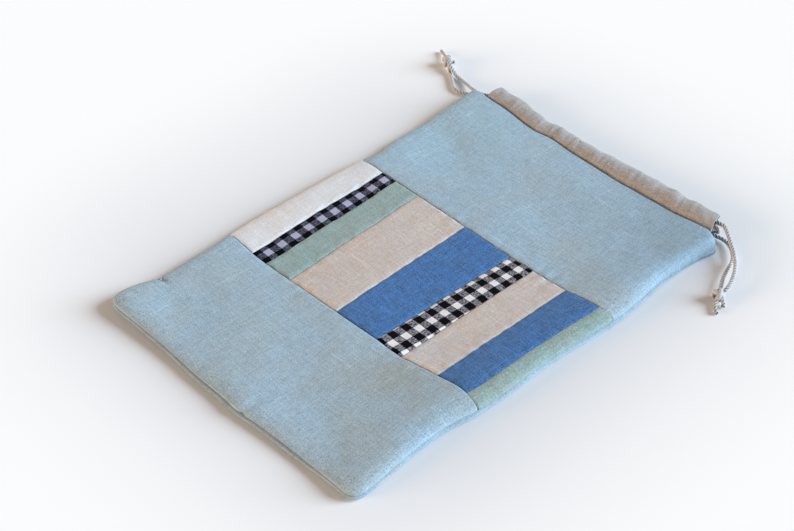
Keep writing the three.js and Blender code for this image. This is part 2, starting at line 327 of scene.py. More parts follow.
ginghams = {
    "white_gingham": {
        "pitch": (0.0114, 0.0116),
        "centre": (0.0467, -0.0165),
        "lean": 0.036,  # how far the checks run askew to the strip
        "light": (224, 221, 221),
        "dark": (9, 9, 13),
        "between": (110, 108, 114),
    },
    "dark_gingham": {
        "pitch": (0.0124, 0.01255),
        "centre": (-0.08793, -0.0205),
        "lean": 0.0073,
        "light": (166, 167, 188),
        "dark": (5, 5, 8),
        "between": (68, 70, 82),
    },
}


def makeGingham(name, look):
    material, shader, wire = newFinish(name, 0.92, 0.0, 0.05)
    place = wire.node("ShaderNodeUVMap", {"uv_map": "cloth"})
    warp, weft, fleck = threads(wire, place)
    stripes = []
    for axis, thread in ((0, weft), (1, warp)):
        askew = place.axis(1) * look["lean"] if axis == 0 else 0.0
        side = place.axis(axis) - askew
        wander = (thread - 0.5) * 0.05
        turn = ((side - look["centre"][axis]) / look["pitch"][axis] + 0.265 + wander).part()
        stripes.append(turn > 0.47)  # 1 on the dark yarns
    mixed = (stripes[0] - stripes[1]) * (stripes[0] - stripes[1])
    both = stripes[0] * stripes[1]
    yarns = wire.noise(place, (1500, 420, 1), 1.0)
    greys = ((yarns - 0.5) * 4.0 + 0.5).held().blendColours(
        paint(*(c * 0.5 for c in look["between"])), paint(*(c * 1.36 for c in look["between"]))
    )
    squares = both.blendColours(paint(*look["light"]), paint(*look["dark"]))
    checks = mixed.blendColours(squares, greys)
    tone = 1.0 + (warp + weft - 1.0) * 0.3 + (fleck - 0.5) * 0.4
    wire.feed(shader.inputs["Base Color"], checks.timesColour(tone.grey()))
    bumped(wire, shader, weaveHeight(place, warp, weft, fleck), weave["bumpHeight"])
    return material


twineLook = {
    "colour": (199, 199, 201),
    "light": (226, 226, 227),
    "dark": (120, 115, 112),
    # painted shade for the crevices between strands
    "paintedCreaseShade": (100, 93, 88),
}


def makeTwine(name, look):
    material, shader, wire = newFinish(name, 0.88, 0.1)
    place = wire.node("ShaderNodeUVMap", {"uv_map": "cloth"})
    fibre = wire.noise(place, (9, 240, 1), 4.0, 0.65)
    patch = wire.noise(place, (1.2, 110, 1), 2.0)
    tone = (fibre * 1.1 + patch * 0.7 - 0.4).held()
    ground = tone.blendColours(paint(*look["dark"]), paint(*look["light"]))
    face = wire.mixed(0.42, ground, paint(*look["colour"]))
    # painted shade: a strand is drawn darkest where it lies against the others, at both ends of its way round
    shown = ((0.28 - wire.maths("ABSOLUTE", place.axis(0) - 0.5)) * 7.0).held()
    wire.feed(shader.inputs["Base Color"], shown.blendColours(paint(*look["paintedCreaseShade"]), face))
    wire.feed(shader.inputs["Roughness"], 0.8 + fibre * 0.15)
    bumped(wire, shader, fibre, 0.0003)
    return material


finishes = {name: makeLinen(name, look) for name, look in linens.items()}
finishes.update({name: makeGingham(name, look) for name, look in ginghams.items()})
finishes["twine"] = makeTwine("twine", twineLook)
print("bag: finishes mixed:", ", ".join(finishes))


# floor and sky
def layFloor():
    deselectAll()
    bpy.ops.mesh.primitive_plane_add(size=studio["floorSize"])
    floor = bpy.context.object
    floor.name = "studio_floor"
    material = bpy.data.materials.new("studio_floor")
    material.use_nodes = True
    shader = material.node_tree.nodes["Principled BSDF"]
    shader.inputs["Roughness"].default_value = 0.95
    shader.inputs["Specular IOR Level"].default_value = 0.0
    wire = Wire(material.node_tree)
    place = wire.node("ShaderNodeTexCoord", output="Object")

    def outFrom(word):
        off = wire.vector("ABSOLUTE", wire.vector("SUBTRACT", place, studio[f"{word}Middle"]))
        past = wire.vector("MAXIMUM", wire.vector("SUBTRACT", off, studio[f"{word}Half"]))
        away = wire.vector("LENGTH", wire.vector("DIVIDE", past, studio[f"{word}Reach"]), output="Value")
        return away.eased()

    # painted shade: broad darkening of the floor round the bag, and a little more close beside it
    wide = outFrom("floor").blendColours((*studio["shadedFloorNear"], 1), (*studio["floorFar"], 1))
    close = outFrom("bag").blendColours((*studio["paintedShadeBesideBag"], 1), (1, 1, 1, 1))
    wire.feed(shader.inputs["Base Color"], wide.timesColour(close))
    floor.data.materials.append(material)


def makeSky():
    sky = bpy.data.worlds.new("studio_sky")
    bpy.context.scene.world = sky
    sky.use_nodes = True
    tree = sky.node_tree
    tree.nodes.clear()
    wire = Wire(tree)
    rays = wire.node("ShaderNodeLightPath")
    kinds = ("Is Camera Ray", "Is Glossy Ray", "Is Transmission Ray")
    straight, glossy, through_ = (Wire(tree, rays.socket.node.outputs[kind]) for kind in kinds)
    shown = (straight + glossy + through_).held()
    ambient = wire.node("ShaderNodeBackground", {}, {"Color": (*studio["skyColour"], 1), "Strength": 1.0})
    white = wire.node("ShaderNodeBackground", {}, {"Color": (*studio["backdrop"], 1), "Strength": 1.0})
    both = wire.node("ShaderNodeMixShader", {}, {0: shown, 1: ambient, 2: white})
    end = tree.nodes.new("ShaderNodeOutputWorld")
    tree.links.new(both.socket, end.inputs["Surface"])


layFloor()
makeSky()
print("bag: floor and sky laid")


# how the cloth lies (all in millimetres)
bag = {
    "halfWidth": 125.0,
    "bottom": -189.0,
    "bandStart": -80.0,
    "bandEnd": 48.0,
    "mouth": 171.0,
    "cloth": 0.7,
    "stripSeams": (-96.5, -82.0, -58.0, -9.0, 34.0, 55.0, 87.5, 116.0),
}
edge = {
    "rollLeft": 12.0,  # how far in each rolled edge starts
    "rollRight": 9.0,
    "rollBottom": 10.0,
    "corner": 3.5,
    "squareness": 3.2,
    "unrolled": 12.0,  # cloth taken up by a roll
    "turn": math.radians(126),
    "mouthTurn": math.radians(97),  # beside the mouth the right edge stands nearly upright
    "mouthTurnFrom": 95.0,
    "mouthTurnOver": 40.0,
    "bottomTurn": math.radians(142),
    "fullest": 0.36,  # how far up from the seam a roll is widest
    "ground": 0.08,
    "leftSeam": 3.8,
    "bottomSeam": 4.2,
    "backReach": 0.9,
    "mouthCornerLeft": 1.5,
    "mouthCornerRight": 9.0,
    "drawnIn": 38.0,  # how far in from an edge its waviness is felt
    "stripFade": 30.0,  # how far past the band its slanting seams are felt
    "lowSeamFade": 42.0,
    "dropFrom": 40.0,
    "dropOver": 125.0,
}
heights = {
    "middle": 7.0,
    "rightRidge": 4.4,
    "leftRidge": 0.9,
    "bottomRidge": 0.5,
    "mouthMiddle": 1.7,
    "mouthEnds": 5.4,
    "swell": 0.6,
    "rumple": 0.13,
    # where, how wide and how high: the right bottom corner is thin, the left one curls up off the table
    "thinCorner": ((125, -189), (50, 40), 2.2),
    "liftedCorner": ((-125, -189), (80, 34), 2.2),
}
seams = {
    "depth": 1.15,
    "width": 3.2,
    "pucker": 0.3,
    "puckerReach": 6.5,
    "stripPucker": 0.7,
    "shallow": 0.55,  # how much of a seam's depth is lost at the right edge
    "shallowFrom": 106.0,
    "shallowOver": 14.0,
}
# small marks pressed into or raised on the cloth: where, how wide, how high
creaseSpots = (
    ((-121, -146.5), (7, 2.0), -3.0),  # notch in the left edge
    ((-121, -151), (8, 2.6), 0.3),
    ((21, -187), (2.2, 16), -0.8),  # dent at the bottom
    ((14, -182), (5, 12), 0.5),
    ((-34.6, -180.4), (2.4, 1.1), 0.5),  # slub
    ((-118, -36), (9, 2.2), -0.5),  # fold across the cream strip
    ((-118, -41), (9, 4), 0.4),
)
hem = {"fold": 0.8, "turnedUnder": 7.0, "lowest": 0.8}


def ease(t):
    t = np.clip(t, 0, 1)
    return t * t * (3 - 2 * t)


def through(*points):
    # a smooth curve through given points
    xs, ys = np.array(points, float).T
    slopes = np.gradient(ys, xs)

    def at(x):
        x = np.clip(x, xs[0], xs[-1])
        k = np.clip(np.searchsorted(xs, x) - 1, 0, len(xs) - 2)
        gap = xs[k + 1] - xs[k]
        t = (x - xs[k]) / gap
        start = (1 + 2 * t) * (1 - t) ** 2 * ys[k] + t * (1 - t) ** 2 * gap * slopes[k]
        return start + t * t * (3 - 2 * t) * ys[k + 1] + t * t * (t - 1) * gap * slopes[k + 1]

    return at


# the edges and seams of the real bag wander: how far each is off its straight line
leftPull = through(
    (-189, 0), (-168, 0.3), (-157, 2.4), (-151, 4.6), (-143, 4.9), (-134, 4.6), (-110, 4.1), (-85, 3.2),
    (-76, 2.1), (-60, 1.0), (-38, 1.2), (-20, 1.6), (25, 2.0), (45, 3.0), (54, 4.6), (62, 6.4), (70, 5.2),
    (80, 3.7), (115, 3.2), (140, 1.6), (171, 0),
)
rightPush = through(
    (-189, 0), (-165, -1.2), (-130, -4.0), (-102, -3.7), (-78, 0), (-60, 0.9), (-10, 0.6), (25, 3.0),
    (52, 4.8), (72, 4.0), (92, 1.6), (110, -0.5), (130, -0.5), (147, 0.6), (160, 3.2), (171, 5.4),
)
bottomPull = through(
    (-125, 1.4), (-85, 2.6), (-48, 2.4), (-30, 1.4), (0, 1.0), (18, 0.4), (36, 1.9), (56, 2.9), (80, 3.2),
    (105, 3.0), (125, 1.8),
)
mouthDrop = through(
    (-125, -1.4), (-108, 0.6), (-83, 1.6), (-52, 5.0), (-38, 2.8), (-20, 4.4), (0, 5.4), (34, 6.6), (60, 6.8),
    (97, 6.9), (117, 5.6), (125, 5.0),
)
lowSeamShift = through(
    (-125, 0), (-94, -1.8), (-60, -1.4), (-7, -1.1), (32, 0.3), (55, 1.2), (84, 5.2), (111, 5.4), (125, 1.8)
)
lowStripShift = through(
    (-125, 0), (-96, 0.7), (-82, 1.3), (-58, 2.7), (-9, 2.0), (34, -2.6), (55, -0.8), (87, -3.2),
    (114, -4.4), (125, 0),
)
highStripShift = through(
    (-125, 0), (-96, -1.7), (-82, -1.5), (-58, -1.9), (-9, -2.0), (34, 0.6), (55, 0.9), (87, -0.6),
    (116, -2.8), (125, 0),
)
bottomReach = through(
    (-125, -0.2), (-105, 0.6), (-70, 1.3), (-20, 2.0), (20, 1.6), (40, 1.7), (62, 2.2), (85, 1.4),
    (105, 0.4), (125, -0.2),
)
rightSeamHeight = through((-189, 4.2), (60, 4.2), (92, 3.2), (110, 2.2), (130, 1.6), (147, 1.1), (171, 0.9))


def ripple(seed, shortest, longest, count=7):
    draw = np.random.default_rng(seed)
    lengths = draw.uniform(shortest, longest, count)
    starts = draw.uniform(0, 2 * math.pi, count)
    weights = draw.uniform(0.5, 1, count)
    weights /= math.sqrt((weights ** 2).sum() / 2)

    def at(s):
        waves = zip(weights, lengths, starts)
        return sum(weight * np.sin(2 * math.pi * s / length + start) for weight, length, start in waves)

    return at


def swell(seed, shortest, longest, count=9):
    draw = np.random.default_rng(seed)
    lengths = draw.uniform(shortest, longest, count)
    ways = draw.uniform(0, 2 * math.pi, count)
    starts = draw.uniform(0, 2 * math.pi, count)

    def at(x, y):
        waves = (
            np.sin(2 * math.pi * (x * math.cos(way) + y * math.sin(way)) / length + start)
            for length, way, start in zip(lengths, ways, starts)
        )
        return sum(waves) / math.sqrt(count / 2)

    return at


frontSwell = swell(11, 70, 160)
frontRumple = swell(12, 22, 48, 14)
lowerPucker, upperPucker, stripPucker = ripple(21, 9, 17), ripple(22, 9, 17), ripple(23, 10, 20)
noseWave, gatherWave = ripple(32, 15, 30), ripple(37, 6, 16, 14)


def hump(away, top, width):
    return np.exp(-(np.maximum(away - top, 0) / width) ** 2)


def mouthLift(x):
    s = np.clip(np.abs(x) / bag["halfWidth"], 0, 1)
    return heights["mouthMiddle"] + (heights["mouthEnds"] - heights["mouthMiddle"]) * s ** 2


def frontTop(x, y):
    right = heights["rightRidge"] * hump(bag["halfWidth"] - x, 8, 26)
    left = heights["leftRidge"] * hump(bag["halfWidth"] + x, 16, 20)
    bottom = heights["bottomRidge"] * hump(y - bag["bottom"], 12, 17)
    lift = mouthLift(x) * ease((y - 96) / 66)
    calm = 1 - ease((y - 140) / 30) * 0.6
    raised = (right ** 3 * calm + left ** 3 * calm + bottom ** 3 + lift ** 3) ** (1 / 3)
    soft = heights["swell"] * frontSwell(x, y) * calm + heights["rumple"] * frontRumple(x, y)
    return heights["middle"] + raised + soft - spot(x, y, *heights["thinCorner"])


def unroll(u, v):
    # a place on the flat cloth: where its roll starts, which way is out, how far round the roll it is
    leftIn = -bag["halfWidth"] + edge["rollLeft"]
    rightIn = bag["halfWidth"] - edge["rollRight"]
    lowIn = bag["bottom"] + edge["rollBottom"]
    taken, corner = edge["unrolled"], edge["corner"]
    whole = taken + corner
    x, y = u.copy(), v.copy()
    isLeft, isRight, isLow = u < leftIn, u > rightIn, v < lowIn
    out = np.where(isLeft, leftIn - u, np.where(isRight, u - rightIn, np.where(isLow, lowIn - v, 0)))
    outX = np.where(isLeft, -1.0, np.where(isRight, 1.0, 0.0))
    outY = np.where(isLow & ~isLeft & ~isRight, -1.0, 0.0)
    for side, start in ((-1, leftIn + corner), (1, rightIn - corner)):
        low = lowIn + corner
        here = (side * (u - start) > 0) & (v < low)
        a = np.clip(side * (u - start) / whole, 0, 1)
        b = np.clip((low - v) / whole, 0, 1)
        sideways = a * np.sqrt(1 - b * b / 2)
        down = b * np.sqrt(1 - a * a / 2)
        far = np.maximum(np.hypot(sideways, down), 1e-6)
        x = np.where(here, start + side * sideways * whole, x)
        y = np.where(here, low - down * whole, y)
        outX = np.where(here, side * sideways / far, outX)
        outY = np.where(here, -down / far, outY)
        out = np.where(here, far * whole - corner, out)
    out = np.clip(out, 0, taken)
    return x - outX * out, y - outY * out, outX, outY, out / taken


def rollSize(outX, outY):
    # a corner is squarer than a round one
    side = np.where(outX < 0, edge["rollLeft"], edge["rollRight"])
    power = edge["squareness"]
    near = (np.abs(outX) / side) ** power + (np.abs(outY) / edge["rollBottom"]) ** power
    return np.maximum(near, 1e-9) ** (-1 / power) * (near > 0)


def seamHeight(outX, outY, y):
    side = np.where(outX < 0, edge["leftSeam"], rightSeamHeight(y))
    return side * outX ** 2 + edge["bottomSeam"] * outY ** 2


def wholeTurn(outX, y):
    # how far round an edge's roll goes, down to its seam
    near = np.where(outX > 0, ease((y - edge["mouthTurnFrom"]) / edge["mouthTurnOver"]), 0)
    low = np.clip(1 - outX ** 2, 0, 1)
    turn = edge["turn"]
    return turn + (edge["mouthTurn"] - turn) * near + (edge["bottomTurn"] - turn) * low


def frontSkin(u, v):
    x, y, outX, outY, round_ = unroll(u, v)
    last = wholeTurn(outX, y)
    turn = last * round_
    reach = rollSize(outX, outY) * np.sin(turn)
    x, y = x + outX * reach, y + outY * reach
    top = frontTop(x, y)
    seam = np.where(round_ > 0, seamHeight(outX, outY, y), 0)
    middle = seam + edge["fullest"] * (top - seam)
    past = (middle - seam) / -np.cos(last)
    fall = np.cos(turn)
    z = middle + np.where(fall > 0, top - middle, past) * fall
    return np.stack([x, y, z], 1)


def backSkin(u, v):
    x, y, outX, outY, round_ = unroll(u, v)
    last = wholeTurn(outX, y)
    turn = last * round_
    size = rollSize(outX, outY)
    further = edge["backReach"] * outX ** 2 + bottomReach(x) * outY ** 2
    low = np.sin(last)
    widest, atSeam = size + further, size * low
    folded = atSeam + (widest - atSeam) * (np.sin(turn) - low) / (1 - low)
    reach = np.where(turn < math.pi / 2, widest * np.sin(turn), folded)
    x, y = x + outX * reach, y + outY * reach
    ground = edge["ground"]
    seam = np.where(round_ > 0, seamHeight(outX, outY, y), 0)
    middle = np.maximum(seam - edge["fullest"] * (seam - ground), ground)
    fall = np.cos(turn)
    z = middle - np.where(fall > 0, middle - ground, (seam - middle) / -np.cos(last)) * fall
    return np.stack([x, y, z], 1)


def outward(skin, u, v, step=0.05):
    n = np.cross(skin(u + step, v) - skin(u - step, v), skin(u, v + step) - skin(u, v - step))
    size = np.linalg.norm(n, axis=1)
    n = np.where(size[:, None] > 1e-7, n, (0, 0, 1))
    return n / np.linalg.norm(n, axis=1)[:, None]


def ditch(away):
    t = np.clip(np.abs(away) / seams["width"], 0, 1)
    return seams["depth"] * (1 - np.sqrt(np.maximum(1 - (1 - t) ** 2, 0)))


def relief(u, v):
    # seams sink in, cloth puckers beside them
    start, end = bag["bandStart"], bag["bandEnd"]
    inBand = (v >= start) & (v <= end)
    toStrip = np.min([np.abs(u - s) for s in bag["stripSeams"]], axis=0)
    sunk = np.maximum(ditch(v - start), ditch(v - end))
    sunk = np.maximum(sunk, np.where(inBand, ditch(toStrip), 0))
    sunk = sunk * (1 - seams["shallow"] * ease((u - seams["shallowFrom"]) / seams["shallowOver"]))
    reach = seams["puckerReach"]
    pucker = lowerPucker(u) * np.exp(-np.abs(v - start) / reach)
    pucker += upperPucker(u) * np.exp(-np.abs(v - end) / reach)
    atStrip = stripPucker(v + 40 * np.round(u / 18)) * np.exp(-toStrip / reach)
    pucker += seams["stripPucker"] * atStrip * inBand
    settled = np.minimum(ditch(v - start) + ditch(v - end) + ditch(toStrip) * inBand, seams["depth"])
    raised = seams["pucker"] * pucker * (1 - settled / seams["depth"])
    return raised - sunk + creases(u, v)


def spot(u, v, middle, size, height):
    return height * np.exp(-(((u - middle[0]) / size[0]) ** 2) - ((v - middle[1]) / size[1]) ** 2)


def creases(u, v):
    return sum(spot(u, v, *mark) for mark in creaseSpots)


def settle(points, band=True):
    # where the real edges and seams run off the straight
    x, y, z = points.T
    half, reach = bag["halfWidth"], edge["drawnIn"]
    inLeft, inRight = ease(1 - (x + half) / reach), ease(1 - (half - x) / reach)
    inLow = ease(1 - (y - bag["bottom"]) / reach)
    z = z + spot(x, y, *heights["liftedCorner"])
    moved = leftPull(y) * inLeft + rightPush(y) * inRight
    mouthCorners = ((edge["mouthCornerLeft"], inLeft, 1), (edge["mouthCornerRight"], inRight, -1))
    for size, near, side in mouthCorners:
        into = np.clip(1 - (bag["mouth"] - y) / size, 0, 1)
        moved = moved + side * size * (1 - np.sqrt(1 - into ** 2)) * near ** 3
    if band:
        share = np.clip((y - bag["bandStart"]) / (bag["bandEnd"] - bag["bandStart"]), 0, 1)
        outside = np.maximum(bag["bandStart"] - y, 0) + np.maximum(y - bag["bandEnd"], 0)
        shift = lowStripShift(x) * (1 - share) + highStripShift(x) * share
        moved = moved + shift * np.exp(-((outside / edge["stripFade"]) ** 2))
    lowered = bottomPull(x) * inLow - mouthDrop(x) * ease((y - edge["dropFrom"]) / edge["dropOver"])
    if band:
        lowered = lowered + lowSeamShift(x) * np.exp(-(((y - bag["bandStart"]) / edge["lowSeamFade"]) ** 2))
    return np.stack([x + moved, y + lowered, z], 1)


def frontPlace(u, v):
    lift = relief(u, v)[:, None]
    return settle(frontSkin(u, v) + outward(frontSkin, u, v) * lift)


def backPlace(u, v):
    return settle(backSkin(u, v), band=False)


def gridLines(start, end, fine=0.5, coarse=2.0, reach=8.0, fineStart=True, fineEnd=True):
    s = np.linspace(start, end, 3000)
    away = np.full_like(s, reach)
    if fineStart:
        away = np.minimum(away, s - start)
    if fineEnd:
        away = np.minimum(away, end - s)
    gap = fine + (coarse - fine) * np.clip(away / reach, 0, 1)
    count = np.concatenate([[0], np.cumsum(np.diff(s) / ((gap[1:] + gap[:-1]) / 2))])
    steps = max(3, int(round(count[-1])))
    return np.interp(np.linspace(0, count[-1], steps + 1), count, s)


def modify(piece, kind, **settings):
    selectOnly(piece)
    bpy.ops.object.modifier_add(type=kind)
    added = piece.modifiers[-1]
    for key, value in settings.items():
        setattr(added, key, value)
    bpy.ops.object.modifier_apply(modifier=added.name)


def gridPiece(name, us, vs, place, flatPlace=None):
    # a grid is added and every crossing is moved to where the cloth has it
    deselectAll()
    bpy.ops.mesh.primitive_grid_add(x_subdivisions=len(us) - 1, y_subdivisions=len(vs) - 1, size=1)
    piece = bpy.context.object
    piece.name = piece.data.name = name
    u, v = (a.ravel() for a in np.meshgrid(us, vs))
    mesh = piece.data
    mesh.vertices.foreach_set("co", (place(u, v) * mm).astype(np.float32).ravel())
    flat = np.stack([u, v], 1) * mm if flatPlace is None else flatPlace(u, v)
    corners = np.zeros(len(mesh.loops), np.int32)
    mesh.loops.foreach_get("vertex_index", corners)
    layer = mesh.uv_layers[0]
    layer.name = "cloth"
    layer.uv.foreach_set("vector", flat[corners].astype(np.float32).ravel())
    mesh.update()
    return piece


def cutCloth(name, us, vs, place, finish, thickness, sharp=50):
    piece = gridPiece(name, us, vs, place)
    modify(piece, "SOLIDIFY", thickness=thickness * mm, offset=-1, use_even_offset=False)
    selectOnly(piece)
    bpy.ops.object.shade_smooth_by_angle(angle=math.radians(sharp))
    piece.data.materials.append(finishes[finish])
    return piece


def tucked(place, skin, left=None, right=None, low=None, high=None):
    # past a seam the cloth turns down under its neighbour
    def at(u, v):
        inU = np.clip(u, -1e4 if left is None else left, 1e4 if right is None else right)
        inV = np.clip(v, -1e4 if low is None else low, 1e4 if high is None else high)
        past = np.hypot(u - inU, v - inV)
        return place(inU, inV) - outward(skin, inU, inV) * past[:, None]

    return at


def withTuck(lines, low, high, reach=1.1):
    if low:
        lines = np.concatenate([[lines[0] - reach, lines[0] - reach / 2], lines])
    if high:
        lines = np.concatenate([lines, [lines[-1] + reach / 2, lines[-1] + reach]])
    return lines


flatLeft = -bag["halfWidth"] + edge["rollLeft"] - edge["unrolled"]
flatRight = bag["halfWidth"] - edge["rollRight"] + edge["unrolled"]
flatLow = bag["bottom"] + edge["rollBottom"] - edge["unrolled"]


# lower panel and the nine strips
lowerPanel = {"name": "lower_panel_cloth", "finish": "light_blue_linen", "replaces": "front_lower_panel"}
strips = (
    ("cream_strip_cloth", "cream_linen", "patch_cream"),
    ("dark_gingham_strip_cloth", "dark_gingham", "patch_dark_gingham"),
    ("wide_sage_strip_cloth", "sage_linen", "patch_sage_wide"),
    ("wide_sand_strip_cloth", "sand_linen", "patch_sand_wide"),
    ("wide_blue_strip_cloth", "mid_blue_linen", "patch_blue_wide"),
    ("white_gingham_strip_cloth", "white_gingham", "patch_white_gingham"),
    ("narrow_sand_strip_cloth", "sand_linen", "patch_sand_narrow"),
    ("narrow_blue_strip_cloth", "mid_blue_linen", "patch_blue_narrow"),
    ("narrow_sage_strip_cloth", "sage_linen", "patch_sage_narrow"),
)


def sewOn(node):
    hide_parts(node)


def makeLowerPanel():
    us = gridLines(flatLeft, flatRight, 0.8, 1.9, 14)
    vs = withTuck(gridLines(flatLow, bag["bandStart"], 0.55, 1.9, 10), False, True)
    place = tucked(frontPlace, frontSkin, high=bag["bandStart"])
    piece = cutCloth(lowerPanel["name"], us, vs, place, lowerPanel["finish"], bag["cloth"])
    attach(piece, "bag")
    sewOn(lowerPanel["replaces"])


def makeStrips():
    sides = (flatLeft, *bag["stripSeams"], flatRight)
    for i, (name, finish, node) in enumerate(strips):
        left, right = sides[i], sides[i + 1]
        first, last = i == 0, i == len(strips) - 1
        us = withTuck(gridLines(left, right, 0.5, 1.7, 6), not first, not last)
        vs = withTuck(gridLines(bag["bandStart"], bag["bandEnd"], 0.5, 1.8, 7), True, True)
        place = tucked(
            frontPlace,
            frontSkin,
            left=None if first else left,
            right=None if last else right,
            low=bag["bandStart"],
            high=bag["bandEnd"],
        )
        piece = cutCloth(name, us, vs, place, finish, bag["cloth"])
        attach(piece, "bag")
        sewOn(node)


makeLowerPanel()
makeStrips()
print("bag: lower panel and strips sewn")


# upper panel, with its folded mouth edge
upperPanel = {"finish": "light_blue_linen", "replaces": "front_upper_panel"}


def foldUnder(place, fold, direction):
    # the cloth runs to the mouth, turns over and lies back under itself
    def at(u, v):
        past = np.maximum(v - bag["mouth"], 0)
        inV = np.minimum(v, bag["mouth"])
        spots = place(u, inV)
        turn = np.minimum(past / fold, math.pi)
        back = np.maximum(past - math.pi * fold, 0)
        spots[:, 1] += fold * np.sin(turn) - back
        spots[:, 2] -= direction * fold * (1 - np.cos(turn))
        if direction > 0:
            spots[:, 2] = np.maximum(spots[:, 2], hem["lowest"])
        return spots

    return at


def gatherPiece(piece):
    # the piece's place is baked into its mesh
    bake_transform(piece)


def gatherAlong(piece):
    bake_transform(piece)


def halfLines(side, fine=0.8, coarse=1.9):
    if side < 0:
        return gridLines(flatLeft, 0, fine, coarse, 14, fineEnd=False)
    return gridLines(0, flatRight, fine, coarse, 14, fineStart=False)


def hemLines(reach):
    turned = math.pi * hem["fold"]
    lines = np.concatenate([np.linspace(0, turned, 9)[1:], turned + np.linspace(0, reach, 4)[1:]])
    return lines + bag["mouth"]


def makeUpperPanel():
    rows = withTuck(gridLines(bag["bandEnd"], bag["mouth"], 0.5, 1.9, 9), True, False)
    rows = np.concatenate([rows, hemLines(hem["turnedUnder"])])
    place = tucked(foldUnder(frontPlace, hem["fold"], 1), frontSkin, low=bag["bandEnd"])
    for side, word in ((-1, "left"), (1, "right")):
        us = halfLines(side)
        name = f"upper_panel_{word}_cloth"
        piece = cutCloth(name, us, rows, place, upperPanel["finish"], bag["cloth"])
        gatherPiece(piece)
        sewOn(upperPanel["replaces"])


makeUpperPanel()
print("bag: upper panel folded at the mouth")


# back panel
backPanel = {"finish": "light_blue_linen", "replaces": "back_panel", "spacing": 3.2}


def makeBackPanel():
    space = backPanel["spacing"]
    low = gridLines(flatLow, bag["bandEnd"], 0.8, space, 14, fineEnd=False)
    us = gridLines(flatLeft, flatRight, 0.8, space, 14)[::-1]
    piece = cutCloth("back_panel_lower_cloth", us, low, backPlace, backPanel["finish"], bag["cloth"])
    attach(piece, "bag")
    sewOn(backPanel["replaces"])
    rows = gridLines(bag["bandEnd"], bag["mouth"], 0.8, space, 9, fineStart=False)
    rows = np.concatenate([rows, hemLines(hem["turnedUnder"])])
    place = foldUnder(backPlace, hem["fold"], -1)
    for side, word in ((-1, "left"), (1, "right")):
        us = halfLines(side, 0.8, space)[::-1]
        name = f"back_panel_upper_{word}_cloth"
        piece = cutCloth(name, us, rows, place, backPanel["finish"], bag["cloth"])
        gatherPiece(piece)
        sewOn(backPanel["replaces"])


makeBackPanel()
print("bag: back panel laid")


# linings
lining = {
    "finish": "lining_linen",
    "cloth": 0.45,
    "under": (2.6, 1.05),  # how deep it lies under the front's skin and under the back's
    "atMouth": 3.5,
    "belowMouth": 2.5,
    "inset": 5.0,
    "upperInset": 9.0,
    "spacing": 3.6,
}


def liningPlace(skin, band):
    def at(u, v):
        under = lining["under"][0 if band else 1]
        depth = under + (lining["atMouth"] - under) * ease((v - 152) / 12)
        return settle(skin(u, v) - outward(skin, u, v) * depth[:, None] * (1 if band else -1), band)

    return at


def makeLining(word, skin, band, node):
    place = liningPlace(skin, band)
    inset, space = lining["inset"], lining["spacing"]
    turn = slice(None) if band else slice(None, None, -1)
    us = gridLines(flatLeft + inset, flatRight - inset, 1.2, space, 14)[turn]
    vs = gridLines(flatLow + inset, bag["bandEnd"], 1.2, space, 14, fineEnd=False)
    name = f"lining_{word}_lower_cloth"
    piece = cutCloth(name, us, vs, place, lining["finish"], lining["cloth"])
    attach(piece, "bag")
    sewOn(node)
    vs = gridLines(bag["bandEnd"], bag["mouth"] - lining["belowMouth"], 1.2, space, 9, fineStart=False)
    for side, half in ((-1, "left"), (1, "right")):
        us = halfLines(side, 1.2, space)
        us = np.clip(us, flatLeft + lining["upperInset"], flatRight - lining["upperInset"])
        us = np.unique(us)[turn]
        name = f"lining_{word}_upper_{half}_cloth"
        piece = cutCloth(name, us, vs, place, lining["finish"], lining["cloth"])
        gatherPiece(piece)
        sewOn(node)


makeLining("front", frontSkin, True, "lining_front")
makeLining("back", backSkin, False, "lining_back")
print("bag: linings hung")


# drawstring casings
casing = {
    "finish": "natural_linen",
    "cloth": 0.5,
    "leftEnd": -108.0,
    "rightEnd": 119.0,
    "slant": (-0.02, -0.32),  # at the left end and at the right end
    "endHem": 6.0,
    "endFold": 0.45,
    "noseWave": 0.4,
    "gathers": 0.27,
    "pinch": 0.25,  # how far each end is flattened, and from how far in
    "pinchReach": 12.0,
    "width": 18.0,
    "high": 2.6,
    "lowest": 0.06,
    # how the folded strip runs, as far past the mouth line and as deep below the panel's face
    "section": (
        (-6.5, 2.05), (-3.0, 2.1), (0.2, 2.3), (1.6, 2.0), (2.7, 0.9), (4.2, -0.9), (6.6, -2.2),
        (10.0, -2.6), (13.2, -1.8), (16.0, -0.3), (17.6, 1.2), (18.0, 2.2), (17.2, 3.2), (14.0, 3.9),
        (10.0, 4.1), (6.0, 3.9), (3.0, 3.5), (0.4, 3.0), (-3.0, 2.75), (-6.5, 2.75),
    ),
}
casingReach = through(
    (-108, 19.6), (-83, 20.6), (-38, 19.0), (5, 20.8), (34, 24.0), (60, 24.6), (97, 23.8), (119, 21.6)
)
casingCrest = through((-108, 0.8), (-60, 0.75), (-20, 0.8), (30, 1.15), (70, 1.2), (119, 1.0))


def lengthsAlong(line):
    return np.concatenate([[0], np.cumsum(np.linalg.norm(np.diff(line, axis=0), axis=1))])


def between(first, second, start, end, t):
    # first at start, second at end
    return (end - t) / (end - start) * first + (t - start) / (end - start) * second


